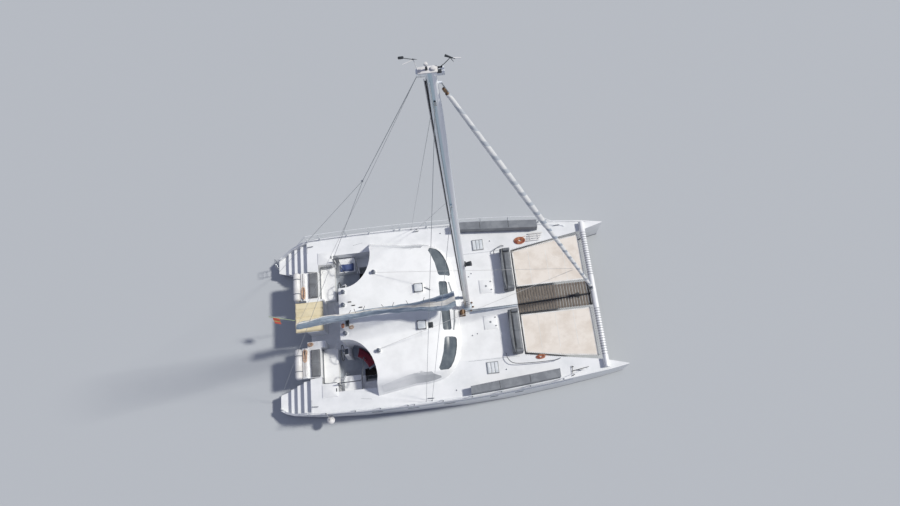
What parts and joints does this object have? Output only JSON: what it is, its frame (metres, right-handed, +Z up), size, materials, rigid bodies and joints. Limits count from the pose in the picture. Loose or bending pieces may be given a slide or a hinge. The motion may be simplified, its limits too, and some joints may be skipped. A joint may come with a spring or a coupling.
{
  "type": "sailing catamaran",
  "caption": "Large open-deck sailing catamaran with a crowned cabin, forward trampolines, stowed mainsail on its boom and a furled headsail, floating at its waterline.",
  "frame": {"origin": "on the centreline amidships, at the waterline", "axes": "+X towards the bows, +Y to port, +Z up"},
  "size_m": [16.536, 9.1455, 22.07],
  "materials": {
    "gelcoat": "polished gelcoat",
    "moulded_white": "moulded non-slip gelcoat",
    "white_plastic": "smooth moulded plastic",
    "smoked_glass": "smoked acrylic",
    "steel": "polished stainless steel",
    "alloy": "satin white paint over aluminium",
    "black_alloy": "black anodised",
    "bronze": "cast bronze",
    "grey_mesh": "open mesh outdoor fabric",
    "net_cloth": "tight woven netting",
    "slats": "weathered slats",
    "cream_vinyl": "cream vinyl",
    "sail_cover": "coated acrylic cloth",
    "sail_cloth": "woven sailcloth",
    "navy_cloth": "navy acrylic cloth",
    "red_cloth": "dark red acrylic cloth"
  },
  "bodies": {
    "root": {"hull_port": "gelcoat", "hull_starboard": "gelcoat", "bridge_deck": "gelcoat", "coachroof": "gelcoat", "windscreen": "smoked_glass", "helm_bench_port": "white_plastic", "helm_bench_starboard": "white_plastic", "helm_pedestal_port": "white_plastic", "helm_pedestal_starboard": "white_plastic", "raft_canister_port": "white_plastic", "raft_canister_starboard": "white_plastic", "fender": "white_plastic", "guard_rail_port": "steel", "guard_rail_starboard": "steel", "cap_shroud_port": "steel", "cap_shroud_starboard": "steel", "lower_shroud_port": "steel", "lower_shroud_starboard": "steel", "backstay_leg_port": "steel", "backstay_leg_starboard": "steel", "backstay": "steel", "flagstaff": "steel", "aft_pad_port": "grey_mesh", "aft_pad_starboard": "grey_mesh", "foredeck_sofa_port": "grey_mesh", "foredeck_sofa_starboard": "grey_mesh", "side_bench_port": "grey_mesh", "side_bench_starboard": "grey_mesh", "aft_sunpad": "cream_vinyl", "cockpit_cushion_port": "navy_cloth", "cockpit_cushion_starboard": "red_cloth", "crossbeam": "alloy", "mast": "alloy", "trampoline_port": "net_cloth", "trampoline_starboard": "net_cloth", "catwalk": "slats", "headsail": "sail_cloth", "forestay": "black_alloy", "windlass": "black_alloy", "anchor": "black_alloy"},
    "boom": {"boom": "alloy", "sail_bag": "sail_cover"},
    "cabin_door": {"cabin_door": "smoked_glass"},
    "swim_ladder": {"swim_ladder": "steel"},
    "rudder_port": {"rudder_port": "gelcoat"},
    "rudder_starboard": {"rudder_starboard": "gelcoat"},
    "helm_wheel_port": {"helm_wheel_port": "steel"},
    "helm_wheel_starboard": {"helm_wheel_starboard": "steel"},
    "propeller_port": {"propeller_port": "bronze"},
    "propeller_starboard": {"propeller_starboard": "bronze"},
    "deck_hatch_port": {"deck_hatch_port": "smoked_glass"},
    "deck_hatch_starboard": {"deck_hatch_starboard": "smoked_glass"},
    "engine_hatch_port": {"engine_hatch_port": "moulded_white"},
    "engine_hatch_starboard": {"engine_hatch_starboard": "moulded_white"},
    "locker_lid_port": {"locker_lid_port": "moulded_white"},
    "locker_lid_starboard": {"locker_lid_starboard": "moulded_white"},
    "roof_hatch_port": {"roof_hatch_port": "smoked_glass"},
    "roof_hatch_starboard": {"roof_hatch_starboard": "smoked_glass"}
  },
  "joints": [
    {"name": "boom_swing", "type": "hinge", "parent": "root", "child": "boom", "pos_m": [0.88, 0, 3.42], "axis": [0, 0, 1], "range_deg": [-62, 53]},
    {"name": "rudder_port_turn", "type": "hinge", "parent": "root", "child": "rudder_port", "pos_m": [-7.25, 3.56, -0.9], "axis": [0, 0, 1], "range_deg": [-35, 35]},
    {"name": "rudder_starboard_turn", "type": "hinge", "parent": "root", "child": "rudder_starboard", "pos_m": [-7.25, -3.56, -0.9], "axis": [0, 0, 1], "range_deg": [-35, 35]},
    {"name": "helm_wheel_port_turn", "type": "hinge", "parent": "root", "child": "helm_wheel_port", "pos_m": [-4.985, 1.56, 1.64], "axis": [1, 0, 0], "range_deg": [-430, 430]},
    {"name": "helm_wheel_starboard_turn", "type": "hinge", "parent": "root", "child": "helm_wheel_starboard", "pos_m": [-4.985, -1.56, 1.64], "axis": [1, 0, 0], "range_deg": [-430, 430]},
    {"name": "propeller_port_spin", "type": "hinge", "parent": "root", "child": "propeller_port", "pos_m": [-5.3, 3.56, -1.15], "axis": [1, 0, 0], "continuous": true},
    {"name": "propeller_starboard_spin", "type": "hinge", "parent": "root", "child": "propeller_starboard", "pos_m": [-5.3, -3.56, -1.15], "axis": [1, 0, 0], "continuous": true},
    {"name": "deck_hatch_port_lift", "type": "hinge", "parent": "root", "child": "deck_hatch_port", "pos_m": [1.72, 3.055, 1.765], "axis": [0, -1, 0], "range_deg": [0, 85]},
    {"name": "engine_hatch_port_lift", "type": "hinge", "parent": "root", "child": "engine_hatch_port", "pos_m": [-6, 3.2825, 1.75], "axis": [0, -1, 0], "range_deg": [0, 85]},
    {"name": "locker_lid_port_lift", "type": "hinge", "parent": "root", "child": "locker_lid_port", "pos_m": [1.84, 0.895, 1.755], "axis": [0, -1, 0], "range_deg": [0, 85]},
    {"name": "roof_hatch_port_lift", "type": "hinge", "parent": "root", "child": "roof_hatch_port", "pos_m": [-1.27, 0.9, 2.775], "axis": [0, -1, 0], "range_deg": [0, 70]},
    {"name": "deck_hatch_starboard_lift", "type": "hinge", "parent": "root", "child": "deck_hatch_starboard", "pos_m": [1.72, -3.055, 1.765], "axis": [0, -1, 0], "range_deg": [0, 85]},
    {"name": "engine_hatch_starboard_lift", "type": "hinge", "parent": "root", "child": "engine_hatch_starboard", "pos_m": [-6, -3.2825, 1.75], "axis": [0, -1, 0], "range_deg": [0, 85]},
    {"name": "locker_lid_starboard_lift", "type": "hinge", "parent": "root", "child": "locker_lid_starboard", "pos_m": [1.84, -0.895, 1.755], "axis": [0, -1, 0], "range_deg": [0, 85]},
    {"name": "roof_hatch_starboard_lift", "type": "hinge", "parent": "root", "child": "roof_hatch_starboard", "pos_m": [-1.27, -0.9, 2.775], "axis": [0, -1, 0], "range_deg": [0, 70]},
    {"name": "cabin_door_slide", "type": "slide", "parent": "root", "child": "cabin_door", "axis": [0, 1, 0], "range_m": [0, 0.78]},
    {"name": "swim_ladder_fold", "type": "hinge", "parent": "root", "child": "swim_ladder", "pos_m": [-8.27, 3.49, 0.675], "axis": [0, -1, 0], "range_deg": [0, 180]}
  ],
  "couplings": [
    {"joint": "rudder_starboard_turn", "follows": "rudder_port_turn", "ratio": 1},
    {"joint": "helm_wheel_port_turn", "follows": "rudder_port_turn", "ratio": 12},
    {"joint": "helm_wheel_starboard_turn", "follows": "rudder_port_turn", "ratio": 12}
  ]
}
